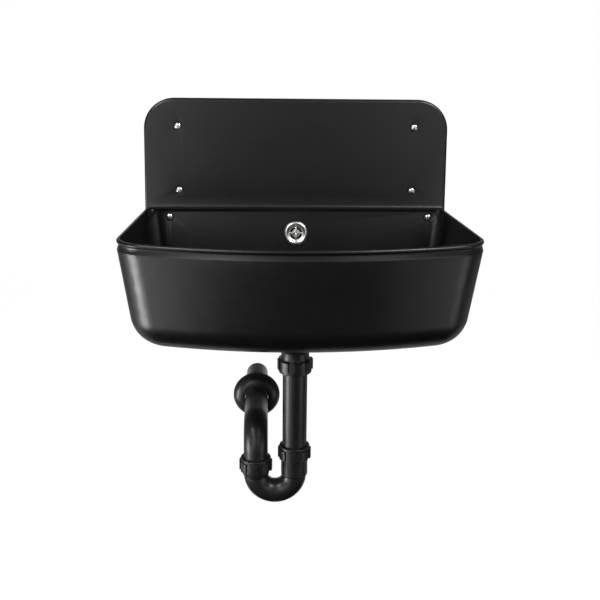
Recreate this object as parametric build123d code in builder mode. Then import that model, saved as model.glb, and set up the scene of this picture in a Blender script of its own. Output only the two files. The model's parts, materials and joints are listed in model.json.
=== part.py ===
from build123d import *
from math import atan2, cos, degrees, pi, radians, sin, sqrt, tan
import os

os.makedirs("parts", exist_ok=True)

# Wall-hung hand basin of moulded plastic with a tall splashback, an overflow and a tubular trap.
# Millimetres. +X to the right, +Y into the wall, +Z up.
# The origin is the centre of the four splashback screws, on the face of the wall.

# Splashback
splash_top = 97
splash_inset = 0.7
splash_taper = 1.1
splash_corner = 50
splash_standoff = 18
splash_edge_round = 5
screw_pitch_x = 389
screw_pitch_z = 105

# Roll along the fold, where the splashback meets the back wall of the bowl
fold_top = 10
fold_foot = 3.5
fold_height = 4
fold_out = 2.6
fold_round = 2.2
fold_end = 5

# Bowl
wall = 4
rim_wall = 7
rim_drop = 85
rim_width = 528
rim_flare = 8.5
basin_depth = 346.5
bow_radius = 700
front_corner = 60
rear_corner = 26
draft = 7.3
bowl_height = 160.5
bottom_round = 50

# Rim band, as steps in from the bowl's outline and down from the rim plane
bead_in = 1.8
bead_height = 5.5
bead_crest = 2.5
flute_in = 4.4
flute_drop = 8
band_in = 2.75
band_height = 15
band_edge = 2

# Floor dish, waste seat and waste hole
waste_forward = 145
waste_left = 3.5
dish_radius = 62
dish_fall = 6
seat_radius = 36
seat_depth = 2.5
waste_hole = 24

# Wall screws
screw_head_radius = 5.2
screw_head_height = 3.2
screw_head_round = 2.2
screw_neck_radius = 2.9
screw_thread_radius = 2.4
screw_reach = 38
screw_point = 6
screw_tip = 0.5
screw_clearance = 0.4
screw_washer_radius = 6.2
screw_washer_thick = 1.2
dimple_radius = 8
dimple_depth = 1.2
dimple_taper = 30
spot_radius = 7.5
spot_depth = 0.4
boss_radius = 9
lower_pitch_x = 436
lower_shift = 6
lower_drop = 97

# Overflow
overflow_drop = 124
overflow_hole = 14
rosette_radius = 20.2
rosette_crown = 3.6
rosette_well = 11.5
rosette_edge = 1.2
rosette_sheet = 1.2
rosette_curve = 0.7
star_height = 0.7
star_reach = 10.6
star_root = 3.6
star_tip = 1.2
slot_radius = 8.6
slot_width = 3.0
slot_arc = 52
overflow_gasket_thick = 2.5
overflow_cup_radius = 16
overflow_flange_radius = 21
overflow_cup_depth = 14
overflow_wall = 1.8
overflow_screw_radius = 2.0
overflow_screw_head = 3.0
overflow_screw_socket = 1.2
overflow_socket_depth = 1.0
overflow_post_radius = 4.2

# Overflow hose
hose_bore = 6.8
hose_root = 8.2
hose_crest = 9.5
hose_pitch = 7.0
hose_bend_radius = 32
hose_cuff = 19
hose_grip = 12
hose_drop = 2
hose_standoff = 2.5
spigot_radius = 6.6
spigot_bore = 5.0
clip_wall = 1.2
clip_width = 6

# Waste
gasket_thick = 1.5
lower_gasket_thick = 3
strainer_thick = 1.2
strainer_radius = 34.5
strainer_hole = 3.2
strainer_pitch = 9.8
strainer_screw_radius = 3
strainer_screw_head = 5.5
waste_flange_radius = 38
waste_flange_thick = 4
waste_cup_radius = 31
waste_cup_height = 25
waste_cone_height = 10
waste_wall = 3
waste_neck_radius = 22.7
port_drop = 17
port_reach = 48
post_radius = 6
post_height = 10
post_spokes = 3
post_spoke_width = 3

# Pipes and slip joints
pipe_radius = 20
pipe_wall = 1.8
socket_wall = 1.7
socket_clearance = 0.3
thread_height = 17
nut_height = 21.7
nut_land = 3.2
nut_ring = 5
nut_wall = 1.6
nut_round = 1.2
nut_lugs = 8
lug_width = 13
lug_turn = -7
lug_out = 2.2
slip_ring_thick = 1.5
washer_edge = 0.5
mouth_chamfer = 2.3
joint_gap = 0.3
top_thread_radius = 24.6
trap_thread_radius = 23.2

# Trap: lengths that show between the nuts, and the two bends
neck_show = 13.3
tail_show = 128.5
outlet_nut_drop = 22
bend_drop = 29.5
bend_radius = 32
socket_shoulder = 2.5
shoulder_taper = 30
outlet_rise = 53.2
outlet_bend_radius = 40
outlet_reach = 112
inlet_insertion = 30
outlet_insertion = 17
tail_insertion = 21
tail_stop = 8
spigot_insertion = 50
spigot_mark_width = 2
spigot_mark_depth = 0.4
spigot_chamfer = 1.2

# Wall rosette
wall_rosette_radius = 41.5
wall_rosette_depth = 17
wall_rosette_sheet = 2
wall_rosette_collar = 23.5
wall_rosette_lip = 3
wall_rosette_edge = 1.5
wall_rosette_bulge = 3.5
dome_share = 0.68

# Levels and places that follow from the sizes above
rim_z = -rim_drop
floor_outer_z = rim_z - bowl_height
floor_inner_z = floor_outer_z + wall
seat_z = floor_inner_z - dish_fall - seat_depth
seat_under_z = seat_z - wall
waste_x = -waste_left
waste_y = -waste_forward
back_outer_y = -(splash_standoff - wall)
slope = tan(radians(draft))
leg_x = waste_x - 2 * bend_radius
tail_bore = pipe_radius - pipe_wall
socket_bore = pipe_radius + socket_clearance
socket_radius = socket_bore + socket_wall


def beside(origin, axis):
    """Plane through an axis for the profile of a turned piece: X to the right, Y along the axis."""
    return Plane(origin=origin, x_dir=(1, 0, 0), z_dir=Vector(1, 0, 0).cross(Vector(*axis)))


def finish(builder, name):
    """Label a finished piece and write it out."""
    builder.part.label = name
    export_step(builder.part, f"parts/{name}.step")


# Plan of the bowl's wall at the level of the rim
side_corner_y = -basin_depth + bow_radius - sqrt(bow_radius**2 - (rim_width / 2) ** 2)
back_half = rim_width / 2 - rim_flare
foot_half = back_half - bead_in - splash_inset


def outline_half(y):
    """Half width of the sides' straight lines at a place from the wall."""
    return back_half + (y / side_corner_y) * (rim_width / 2 - back_half)


def bowl_outline(back_y):
    """Closed outline with straight sides that widen to the front and a bowed front."""
    left = Line((-outline_half(back_y), back_y), (-rim_width / 2, side_corner_y))
    bow = ThreePointArc(left @ 1, (0, -basin_depth), (rim_width / 2, side_corner_y))
    right = Line(bow @ 1, (outline_half(back_y), back_y))
    Line(right @ 1, left @ 0)


def slanted_corners(part, at_front):
    """Edges that run down the bowl's corners, at the front or at the back."""
    middle_y = side_corner_y / 2
    edges = part.edges().filter_by(lambda e: abs((e @ 0).Z - (e @ 1).Z) > wall)
    edges = edges.filter_by(lambda e: abs((e @ 0.5).X) > rim_width / 4)
    return edges.filter_by(lambda e: ((e @ 0.5).Y < middle_y) == at_front)


# Hollow of the bowl: drafted walls, kept to the thicker wall in the rim band
with BuildPart() as cavity:
    with BuildSketch(Plane.XY.offset(rim_z)) as cavity_plan:
        with BuildLine():
            bowl_outline(back_outer_y)
        make_face()
        offset(amount=-wall, kind=Kind.INTERSECTION)
    extrude(amount=-(bowl_height - wall), taper=draft)
    fillet(slanted_corners(cavity.part, True), front_corner - wall)
    fillet(cavity.faces().sort_by(Axis.Z)[0].edges(), bottom_round - wall)
    fillet(slanted_corners(cavity.part, False), rear_corner - wall)
    with BuildSketch(Plane.XY.offset(rim_z - bowl_height)) as mouth_plan:
        with BuildLine():
            bowl_outline(rim_wall - splash_standoff)
        make_face()
        offset(amount=-rim_wall, kind=Kind.INTERSECTION)
        fillet(mouth_plan.vertices().group_by(Axis.Y)[-1], rear_corner - wall)
        fillet(mouth_plan.vertices().group_by(Axis.Y)[0], front_corner - rim_wall)
    extrude(amount=bowl_height, mode=Mode.INTERSECT)

# Outside of the bowl, with room cut for the rim band
with BuildPart() as bowl:
    with BuildSketch(Plane.XY.offset(rim_z)) as bowl_plan:
        with BuildLine():
            bowl_outline(back_outer_y)
        make_face()
    extrude(amount=-bowl_height, taper=draft)
    fillet(slanted_corners(bowl.part, True), front_corner)
    fillet(bowl.faces().sort_by(Axis.Z)[0].edges(), bottom_round)
    fillet(slanted_corners(bowl.part, False), rear_corner)

with BuildLine(Plane.XY.offset(rim_z)) as rim_path:
    right_side = Line((outline_half(wall), wall), (rim_width / 2, side_corner_y))
    front_bow = ThreePointArc(right_side @ 1, (0, -basin_depth), (-rim_width / 2, side_corner_y))
    Line(front_bow @ 1, (-outline_half(wall), wall))
    fillet(rim_path.vertices().group_by(Axis.Y)[0], front_corner)

# Sections of the rim are drawn at the path's start, with their X pointing out of the bowl
band_start = Plane(origin=rim_path.wire() @ 0, x_dir=(1, 0, 0), z_dir=rim_path.wire() % 0)

with BuildPart() as rebate:
    with BuildSketch(band_start) as rebate_section:
        with Locations((0, -band_height / 2)):
            Rectangle(2 * (rim_wall - bead_in / 2), band_height)
    sweep(path=rim_path.wire())

with BuildPart() as band:
    with BuildSketch(band_start) as band_section:
        with BuildLine():
            top = Line((-rim_wall - bead_in / 2, 0), (-bead_in - bead_height / 2, 0))
            side_end = (-bead_in - bead_height / 4, -bead_height)
            nose = ThreePointArc(top @ 1, (-bead_in, -bead_crest), side_end)
            hollow = Line(nose @ 1, (-flute_in, -flute_drop))
            skirt = Line(hollow @ 1, (-band_in, -band_height + band_edge))
            edge = Line(skirt @ 1, (-band_in, -band_height))
            foot = Line(edge @ 1, (-rim_wall - bead_in / 2, -band_height))
            Line(foot @ 1, top @ 0)
        make_face()
    sweep(path=rim_path.wire())

# Splashback slab, a little narrower at the top, and the roll along its foot
foot_z = rim_z - rim_wall
splash_height = splash_top - foot_z


def splash_outline(inset):
    """Front outline of the splashback with its two upper corners rounded, moved in by a distance."""
    with Locations((0, splash_top - inset - (splash_height - 2 * inset) / 2)):
        foot_width = 2 * (foot_half + rim_wall * tan(radians(splash_taper)) - inset)
        outline = Trapezoid(foot_width, splash_height - 2 * inset, 90 - splash_taper)
    fillet(outline.vertices().group_by(Axis.Y)[-1], splash_corner - inset)


with BuildPart() as splash:
    with BuildSketch(Plane.XZ):
        splash_outline(0)
    extrude(amount=splash_standoff)
    front_edges = splash.edges().filter_by(lambda e: (e @ 0.5).Y < -splash_standoff + splash_inset)
    fillet(front_edges.filter_by(lambda e: (e @ 0.5).Z > foot_z + splash_inset), splash_edge_round)

with BuildPart() as fold:
    with BuildSketch(Plane.YZ) as fold_section:
        with BuildLine():
            nose_y = -splash_standoff - fold_out
            Polyline(
                (-wall, rim_z + fold_top),
                (-splash_standoff, rim_z + fold_top),
                (nose_y, rim_z + (fold_top - fold_foot + fold_height) / 2),
                (nose_y, rim_z + (fold_top - fold_foot - fold_height) / 2),
                (-splash_standoff, rim_z - fold_foot),
                (-wall, rim_z - fold_foot),
                close=True,
            )
        make_face()
        fillet(fold_section.vertices().group_by(Axis.X)[0], fold_round)
    extrude(amount=foot_half - fold_end, both=True)

# Frames of the overflow, on the inner and the outer face of the drafted back wall
overflow_axis = (0, -cos(radians(draft)), sin(radians(draft)))
overflow_y = -splash_standoff - (overflow_drop - rim_drop) * slope
overflow_in = Plane(origin=(0, overflow_y, -overflow_drop), x_dir=(1, 0, 0), z_dir=overflow_axis)
overflow_out = overflow_in.offset(-wall * cos(radians(draft)))

# Places of the wall screws, as seen from the front
screw_x, screw_z = screw_pitch_x / 2, screw_pitch_z / 2
upper_places = [(-screw_x, screw_z), (screw_x, screw_z), (-screw_x, -screw_z), (screw_x, -screw_z)]
lower_places = [(lower_shift + side * lower_pitch_x / 2, -lower_drop) for side in (-1, 1)]

# Basin, one moulding: bowl, rim band, splashback, bosses, floor dish and waste seat
lower_spot_y = splash_standoff + spot_depth
with BuildPart() as basin:
    add(bowl.part)
    add(rebate.part, mode=Mode.SUBTRACT)
    add(band.part)
    add(splash.part)
    with BuildSketch(Plane.XZ):
        splash_outline(wall)
    extrude(amount=splash_standoff - wall, mode=Mode.SUBTRACT)
    with BuildSketch(Plane.XZ) as bosses:
        with GridLocations(screw_pitch_x, screw_pitch_z, 2, 2):
            Circle(boss_radius)
        with Locations(*lower_places):
            Circle(boss_radius)
    extrude(amount=splash_standoff - wall / 2)
    with BuildSketch(Plane.XY.offset(floor_outer_z)) as dish_under:
        with Locations((waste_x, waste_y)):
            Circle(dish_radius + wall)
    dish_drop = floor_outer_z - seat_under_z
    dish_taper = degrees(atan2(dish_radius - seat_radius, dish_drop))
    extrude(amount=-dish_drop, taper=dish_taper)
    add(cavity.part, mode=Mode.SUBTRACT)
    add(fold.part)
    with BuildSketch(Plane.XY.offset(floor_inner_z)) as dish_plan:
        with Locations((waste_x, waste_y)):
            Circle(dish_radius)
    inner_taper = degrees(atan2(dish_radius - seat_radius - seat_depth / 2, dish_fall))
    extrude(amount=-dish_fall, taper=inner_taper, mode=Mode.SUBTRACT)
    with BuildSketch(Plane.XY.offset(seat_z)) as seat_plan:
        with Locations((waste_x, waste_y)):
            Circle(seat_radius)
    extrude(amount=floor_inner_z - seat_z, mode=Mode.SUBTRACT)
    with BuildSketch(Plane.XY.offset(floor_inner_z)) as waste_plan:
        with Locations((waste_x, waste_y)):
            Circle(waste_hole)
    extrude(amount=-bowl_height, mode=Mode.SUBTRACT)
    with BuildSketch(Plane.XZ.offset(splash_standoff)) as dimples:
        with GridLocations(screw_pitch_x, screw_pitch_z, 2, 2):
            Circle(dimple_radius)
    extrude(amount=-dimple_depth, taper=dimple_taper, mode=Mode.SUBTRACT)
    with BuildSketch(Plane.XZ.offset(lower_spot_y)) as spots:
        with Locations(*lower_places):
            Circle(spot_radius)
    extrude(amount=2 * wall, mode=Mode.SUBTRACT)
    with BuildSketch(Plane.XZ) as screw_holes:
        with GridLocations(screw_pitch_x, screw_pitch_z, 2, 2):
            Circle(screw_neck_radius + screw_clearance)
        with Locations(*lower_places):
            Circle(screw_neck_radius + screw_clearance)
    extrude(amount=splash_standoff + 2 * wall, mode=Mode.SUBTRACT)
    with BuildSketch(overflow_in.offset(wall)) as overflow_plan:
        Circle(overflow_hole)
    extrude(amount=-3 * wall, mode=Mode.SUBTRACT)
    split(bisect_by=Plane.XZ, keep=Keep.TOP)
finish(basin, "basin")


def wall_screw_set(places, seat_y, name):
    """Screws with a domed head on a seat before the wall and a thread behind its face."""
    with BuildPart() as screws:
        with BuildSketch(Plane.XZ.offset(seat_y)) as heads:
            with Locations(*places):
                Circle(screw_head_radius)
        extrude(amount=screw_head_height)
        fillet(screws.faces().group_by(Axis.Y)[0].edges(), screw_head_round)
        with BuildSketch(Plane.XZ.offset(seat_y)) as necks:
            with Locations(*places):
                Circle(screw_neck_radius)
        extrude(amount=-seat_y)
        with BuildSketch(Plane.XZ) as threads:
            with Locations(*places):
                Circle(screw_thread_radius)
        extrude(amount=-(screw_reach - screw_point))
        with BuildSketch(Plane.XZ.offset(screw_point - screw_reach)) as points:
            with Locations(*places):
                Circle(screw_thread_radius)
        extrude(amount=-screw_point, taper=degrees(atan2(screw_thread_radius - screw_tip, screw_point)))
    finish(screws, name)


def screw_washer_set(places, seat_y, name):
    """Sealing washers between the screw heads and their seats."""
    with BuildPart() as washers:
        with BuildSketch(Plane.XZ.offset(seat_y)) as rings:
            with Locations(*places):
                Circle(screw_washer_radius)
            with Locations(*places):
                Circle(screw_neck_radius + screw_clearance, mode=Mode.SUBTRACT)
        extrude(amount=screw_washer_thick)
    finish(washers, name)


dimple_y = splash_standoff - dimple_depth
wall_screw_set(upper_places, dimple_y + screw_washer_thick, "wall_screws")
screw_washer_set(upper_places, dimple_y, "wall_screw_washers")
wall_screw_set(lower_places, lower_spot_y + screw_washer_thick, "lower_screws")
screw_washer_set(lower_places, lower_spot_y, "lower_screw_washers")

# Overflow rosette: pressed ring round a slotted well with a raised four-armed star
rosette_profile = beside(overflow_in.origin, overflow_axis)
overflow_line = Axis(overflow_in.origin, overflow_axis)
well_low = joint_gap
well_high = well_low + rosette_sheet
with BuildPart() as overflow_rosette:
    with BuildSketch(rosette_profile) as ring_section:
        with BuildLine():
            crown_r = (rosette_radius + rosette_well) / 2
            outer_mid = (rosette_radius - rosette_edge, rosette_crown * rosette_curve)
            outer = ThreePointArc((rosette_radius, 0), outer_mid, (crown_r, rosette_crown))
            down = Line(outer @ 1, (rosette_well, well_high))
            lip = Line(down @ 1, (rosette_well, well_low))
            up = Line(lip @ 1, (crown_r - rosette_sheet / 3, rosette_crown - rosette_sheet))
            inner_mid = (
                rosette_radius - rosette_edge - rosette_sheet,
                (rosette_crown - rosette_sheet) * rosette_curve,
            )
            inner = ThreePointArc(up @ 1, inner_mid, (rosette_radius - rosette_sheet, 0))
            Line(inner @ 1, outer @ 0)
        make_face()
    revolve(axis=overflow_line)
    with BuildSketch(overflow_in.offset(well_low)) as well_floor:
        Circle(rosette_well + rosette_sheet / 2)
        with BuildLine(mode=Mode.PRIVATE) as slot_line:
            CenterArc((0, 0), slot_radius, 45 - slot_arc / 2, slot_arc)
        with PolarLocations(0, 4):
            SlotArc(slot_line.edge(), slot_width, mode=Mode.SUBTRACT)
    extrude(amount=rosette_sheet)
    with BuildSketch(overflow_in.offset(well_high)) as star:
        with PolarLocations(0, 4):
            Polygon(
                (0, -star_root / 2),
                (star_reach, -star_tip / 2),
                (star_reach, star_tip / 2),
                (0, star_root / 2),
                align=None,
            )
    extrude(amount=star_height)
    with BuildSketch(overflow_in) as hub_hole:
        Circle(overflow_screw_radius + joint_gap)
    extrude(amount=rosette_crown, mode=Mode.SUBTRACT)
finish(overflow_rosette, "overflow_rosette")

star_high = well_high + star_height
with BuildPart() as overflow_screw:
    with BuildSketch(overflow_in.offset(star_high)) as screw_head:
        Circle(overflow_screw_head)
    extrude(amount=rosette_sheet)
    fillet(overflow_screw.faces().sort_by(Axis.Y)[0].edges(), rosette_sheet / 2)
    with BuildSketch(overflow_in.offset(star_high)) as screw_shank:
        Circle(overflow_screw_radius)
    extrude(amount=-(overflow_cup_depth + wall))
    with BuildSketch(overflow_in.offset(star_high + rosette_sheet)) as screw_socket:
        RegularPolygon(overflow_screw_socket, 6)
    extrude(amount=-overflow_socket_depth, mode=Mode.SUBTRACT)
finish(overflow_screw, "overflow_screw")

with BuildPart() as overflow_gasket:
    with BuildSketch(overflow_out) as gasket_ring:
        Circle(overflow_flange_radius)
        Circle(overflow_hole, mode=Mode.SUBTRACT)
    extrude(amount=-overflow_gasket_thick)
finish(overflow_gasket, "overflow_gasket")

# Overflow cup behind the back wall, with a post for the screw and a spigot that points down
waste_top = seat_under_z - lower_gasket_thick
port_z = waste_top - port_drop
hose_top_z = -(overflow_drop + overflow_flange_radius + hose_drop)
hose_y = -(hose_crest + hose_standoff)
cup_face = overflow_out.offset(-overflow_gasket_thick)
with BuildPart() as overflow_cup:
    with BuildSketch(cup_face) as cup_flange:
        Circle(overflow_flange_radius)
    extrude(amount=-overflow_wall)
    with BuildSketch(cup_face) as cup_outside:
        Circle(overflow_cup_radius)
    extrude(amount=-overflow_cup_depth)
    with BuildSketch(Plane.XY.offset(hose_top_z - hose_grip)) as spigot_outside:
        with Locations((waste_x, hose_y)):
            Circle(spigot_radius)
    extrude(amount=hose_grip + overflow_cup_radius / 2)
    with BuildSketch(cup_face) as cup_inside:
        Circle(overflow_cup_radius - overflow_wall)
    extrude(amount=-(overflow_cup_depth - overflow_wall), mode=Mode.SUBTRACT)
    with BuildSketch(Plane.XY.offset(hose_top_z - hose_grip)) as spigot_inside:
        with Locations((waste_x, hose_y)):
            Circle(spigot_bore)
    extrude(amount=hose_grip + overflow_cup_radius, mode=Mode.SUBTRACT)
    post_foot = overflow_cup_depth + overflow_gasket_thick + wall * cos(radians(draft))
    with BuildSketch(overflow_in.offset(well_low - joint_gap)) as post_plan:
        Circle(overflow_post_radius)
    extrude(amount=-(post_foot - overflow_wall / 2))
    with BuildSketch(overflow_in.offset(well_low - joint_gap)) as post_hole:
        Circle(overflow_screw_radius + screw_clearance / 4)
    extrude(amount=-(overflow_cup_depth + wall), mode=Mode.SUBTRACT)
finish(overflow_cup, "overflow_cup")

# Ribbed overflow hose, from the spigot of the cup to the port of the waste
hose_end_y = waste_y + port_reach - hose_grip
drop_run = hose_top_z - (port_z + hose_bend_radius)
bend_run = hose_bend_radius * pi / 2
flat_run = (hose_y - hose_bend_radius) - hose_end_y
hose_run = drop_run + bend_run + flat_run


def hose_plane(run):
    """Plane square to the hose at a length from its top end."""
    if run <= drop_run:
        return Plane(origin=(waste_x, hose_y, hose_top_z - run), x_dir=(1, 0, 0), z_dir=(0, 0, -1))
    turn = (run - drop_run) / hose_bend_radius
    if turn <= pi / 2:
        y = hose_y - hose_bend_radius * (1 - cos(turn))
        z = port_z + hose_bend_radius * (1 - sin(turn))
        return Plane(origin=(waste_x, y, z), x_dir=(1, 0, 0), z_dir=(0, -sin(turn), -cos(turn)))
    y = hose_y - hose_bend_radius - (run - drop_run - bend_run)
    return Plane(origin=(waste_x, y, port_z), x_dir=(1, 0, 0), z_dir=(0, -1, 0))


rib_count = int((hose_run - 2 * hose_cuff) / hose_pitch)
rib_pitch = (hose_run - 2 * hose_cuff) / rib_count
with BuildPart() as overflow_hose:
    with BuildSketch(hose_plane(0)):
        Circle(hose_root)
    for rib in range(rib_count):
        for share, radius in ((0, hose_root), (0.25, hose_crest), (0.5, hose_crest), (0.75, hose_root)):
            with BuildSketch(hose_plane(hose_cuff + (rib + share) * rib_pitch)):
                Circle(radius)
    with BuildSketch(hose_plane(hose_run)):
        Circle(hose_root)
    loft(ruled=True)
    with BuildLine(Plane.YZ.offset(waste_x)) as hose_path:
        down_leg = Line((hose_y, hose_top_z), (hose_y, port_z + hose_bend_radius))
        elbow = RadiusArc(down_leg @ 1, (hose_y - hose_bend_radius, port_z), hose_bend_radius)
        Line(elbow @ 1, (hose_end_y, port_z))
    with BuildSketch(hose_plane(0)):
        Circle(hose_bore)
    sweep(path=hose_path.wire(), mode=Mode.SUBTRACT)
finish(overflow_hose, "overflow_hose")

clip_bore = hose_root + joint_gap / 2
with BuildPart() as hose_clips:
    for place in (hose_grip / 2, hose_run - hose_grip / 2):
        with BuildSketch(hose_plane(place - clip_width / 2)):
            Circle(clip_bore + clip_wall)
            with Locations((clip_bore + clip_wall, 0)):
                Rectangle(3 * clip_wall, 2 * clip_width)
            Circle(clip_bore, mode=Mode.SUBTRACT)
        extrude(amount=clip_width)
finish(hose_clips, "hose_clips")

# Waste: perforated strainer, its screw and gaskets, and the cup with the overflow port and the neck
seat_plane = Plane.XY.offset(seat_z)
strainer_z = seat_z + gasket_thick
with BuildPart() as strainer_gasket:
    with BuildSketch(seat_plane):
        with Locations((waste_x, waste_y)):
            Circle(strainer_radius)
            Circle(waste_hole, mode=Mode.SUBTRACT)
    extrude(amount=gasket_thick)
finish(strainer_gasket, "strainer_gasket")

with BuildPart() as waste_strainer:
    with BuildSketch(Plane.XY.offset(strainer_z)):
        with Locations((waste_x, waste_y)):
            Circle(strainer_radius)
            Circle(strainer_screw_radius + screw_clearance, mode=Mode.SUBTRACT)
            for ring in (1, 2):
                with PolarLocations(ring * strainer_pitch, 6 * ring):
                    Circle(strainer_hole, mode=Mode.SUBTRACT)
    extrude(amount=strainer_thick)
finish(waste_strainer, "waste_strainer")

strainer_top = strainer_z + strainer_thick
with BuildPart() as strainer_screw:
    with BuildSketch(Plane.XY.offset(strainer_top)):
        with Locations((waste_x, waste_y)):
            Circle(strainer_screw_head)
    extrude(amount=2 * strainer_thick)
    fillet(strainer_screw.faces().sort_by(Axis.Z)[-1].edges(), strainer_thick)
    with BuildSketch(Plane.XY.offset(strainer_top)):
        with Locations((waste_x, waste_y)):
            Circle(strainer_screw_radius)
    extrude(amount=-(waste_cup_height - waste_wall))
finish(strainer_screw, "strainer_screw")

with BuildPart() as waste_gasket:
    with BuildSketch(Plane.XY.offset(seat_under_z)):
        with Locations((waste_x, waste_y)):
            Circle(waste_flange_radius)
            Circle(waste_cup_radius - waste_wall, mode=Mode.SUBTRACT)
    extrude(amount=-lower_gasket_thick)
finish(waste_gasket, "waste_gasket")

# Levels of the waste and the trap, each from the piece above it
cup_floor_z = waste_top - waste_cup_height
neck_top_z = cup_floor_z - waste_cone_height
top_nut_z = neck_top_z - neck_show - nut_height
inlet_nut_z = top_nut_z - tail_show
outlet_nut_z = inlet_nut_z - outlet_nut_drop
bend_z = outlet_nut_z - bend_drop
outlet_z = outlet_nut_z + outlet_rise

# Frames of the three slip joints: the closed end of each nut, its axis pointing out of the nut
top_head = Plane(origin=(waste_x, waste_y, top_nut_z), x_dir=(1, 0, 0), z_dir=(0, 0, -1))
inlet_head = Plane(origin=(waste_x, waste_y, inlet_nut_z), x_dir=(1, 0, 0), z_dir=(0, 0, 1))
outlet_head = Plane(origin=(leg_x, waste_y, outlet_nut_z), x_dir=(1, 0, 0), z_dir=(0, 0, 1))
mouth_depth = nut_land + slip_ring_thick + joint_gap
top_mouth_z = top_nut_z + mouth_depth
inlet_mouth_z = inlet_nut_z - mouth_depth
outlet_mouth_z = outlet_nut_z - mouth_depth

tail_top_z = top_mouth_z + tail_insertion
stop_z = tail_top_z + tail_stop
thread_top_z = top_mouth_z + thread_height
with BuildPart() as waste_body:
    with BuildSketch(beside((waste_x, waste_y, 0), (0, 0, 1))) as waste_section:
        with BuildLine():
            inner_cup = waste_cup_radius - waste_wall
            Polyline(
                (waste_flange_radius, waste_top),
                (waste_flange_radius, waste_top - waste_flange_thick),
                (waste_cup_radius, waste_top - waste_flange_thick),
                (waste_cup_radius, cup_floor_z),
                (waste_neck_radius, neck_top_z),
                (waste_neck_radius, thread_top_z),
                (top_thread_radius, thread_top_z),
                (top_thread_radius, top_mouth_z),
                (socket_bore + mouth_chamfer, top_mouth_z),
                (socket_bore, top_mouth_z + mouth_chamfer),
                (socket_bore, stop_z),
                (tail_bore, stop_z),
                (tail_bore, neck_top_z + joint_gap),
                (inner_cup, cup_floor_z + joint_gap),
                (inner_cup, waste_top),
                close=True,
            )
        make_face()
    revolve(axis=Axis((waste_x, waste_y, 0), (0, 0, 1)))
    with BuildSketch(Plane.XZ.offset(-(waste_y + port_reach))):
        with Locations((waste_x, port_z)):
            Circle(spigot_radius)
    extrude(amount=port_reach - waste_cup_radius + waste_wall / 2)
    with BuildSketch(Plane.XZ.offset(-(waste_y + port_reach))):
        with Locations((waste_x, port_z)):
            Circle(spigot_bore)
    extrude(amount=port_reach - waste_cup_radius + 2 * waste_wall, mode=Mode.SUBTRACT)
    spoke_top = waste_top - waste_flange_thick
    with BuildSketch(Plane.XY.offset(spoke_top)):
        with Locations((waste_x, waste_y)):
            with PolarLocations(inner_cup / 2, post_spokes, start_angle=-90):
                Rectangle(inner_cup + waste_wall, post_spoke_width)
    extrude(amount=-post_height)
    with BuildSketch(Plane.XY.offset(strainer_z - joint_gap)):
        with Locations((waste_x, waste_y)):
            Circle(post_radius)
    extrude(amount=-(strainer_z - joint_gap - spoke_top + post_height))
    with BuildSketch(Plane.XY.offset(strainer_z)):
        with Locations((waste_x, waste_y)):
            Circle(strainer_screw_radius + screw_clearance / 4)
    extrude(amount=-waste_cup_height, mode=Mode.SUBTRACT)
finish(waste_body, "waste_body")


def slip_nut(head, thread_radius, name):
    """Nut with a plain ring at its closed end and lugs along the rest."""
    nut_bore = thread_radius + joint_gap
    nut_radius = nut_bore + nut_wall
    with BuildPart() as nut:
        with BuildSketch(head):
            Circle(nut_radius)
        extrude(amount=-nut_height)
        fillet(nut.edges().group_by(Axis.Z)[-1 if head.z_dir.Z > 0 else 0], nut_round)
        with BuildSketch(head.offset(-nut_ring)) as lugs:
            with PolarLocations(nut_radius + (lug_out - nut_wall / 2) / 2, nut_lugs, start_angle=lug_turn):
                Rectangle(lug_out + nut_wall / 2, lug_width)
        extrude(amount=nut_ring - nut_height)
        with BuildSketch(head):
            Circle(socket_bore)
        extrude(amount=-nut_height, mode=Mode.SUBTRACT)
        with BuildSketch(head.offset(-nut_land)):
            Circle(nut_bore)
        extrude(amount=nut_land - nut_height, mode=Mode.SUBTRACT)
    finish(nut, name)


def slip_ring(head, thread_radius, name):
    """Flat ring that takes the turn of the nut off the cone washer."""
    with BuildPart() as ring:
        with BuildSketch(head.offset(-nut_land)):
            Circle(thread_radius)
            Circle(socket_bore, mode=Mode.SUBTRACT)
        extrude(amount=-slip_ring_thick)
    finish(ring, name)


def cone_washer(head, name):
    """Sealing cone in the mouth of the socket."""
    cone_radius = socket_bore + mouth_chamfer - joint_gap * sqrt(2)
    with BuildPart() as washer:
        with BuildSketch(head.offset(-nut_land - slip_ring_thick)):
            Circle(cone_radius)
        extrude(amount=-joint_gap)
        with BuildSketch(head.offset(-mouth_depth)):
            Circle(cone_radius)
        extrude(amount=-(cone_radius - socket_bore - washer_edge), taper=45)
        with BuildSketch(head.offset(-nut_land)):
            Circle(socket_bore)
        extrude(amount=-mouth_depth - mouth_chamfer, mode=Mode.SUBTRACT)
    finish(washer, name)


slip_nut(top_head, top_thread_radius, "top_slip_nut")
slip_ring(top_head, top_thread_radius, "top_slip_ring")
cone_washer(top_head, "top_cone_washer")
slip_nut(inlet_head, trap_thread_radius, "inlet_slip_nut")
slip_ring(inlet_head, trap_thread_radius, "inlet_slip_ring")
cone_washer(inlet_head, "inlet_cone_washer")
slip_nut(outlet_head, trap_thread_radius, "outlet_slip_nut")
slip_ring(outlet_head, trap_thread_radius, "outlet_slip_ring")
cone_washer(outlet_head, "outlet_cone_washer")

with BuildPart() as tail_pipe:
    with BuildSketch(Plane.XY.offset(tail_top_z)):
        with Locations((waste_x, waste_y)):
            Circle(pipe_radius)
            Circle(tail_bore, mode=Mode.SUBTRACT)
    extrude(amount=-(tail_top_z - inlet_mouth_z + inlet_insertion))
finish(tail_pipe, "tail_pipe")

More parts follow.
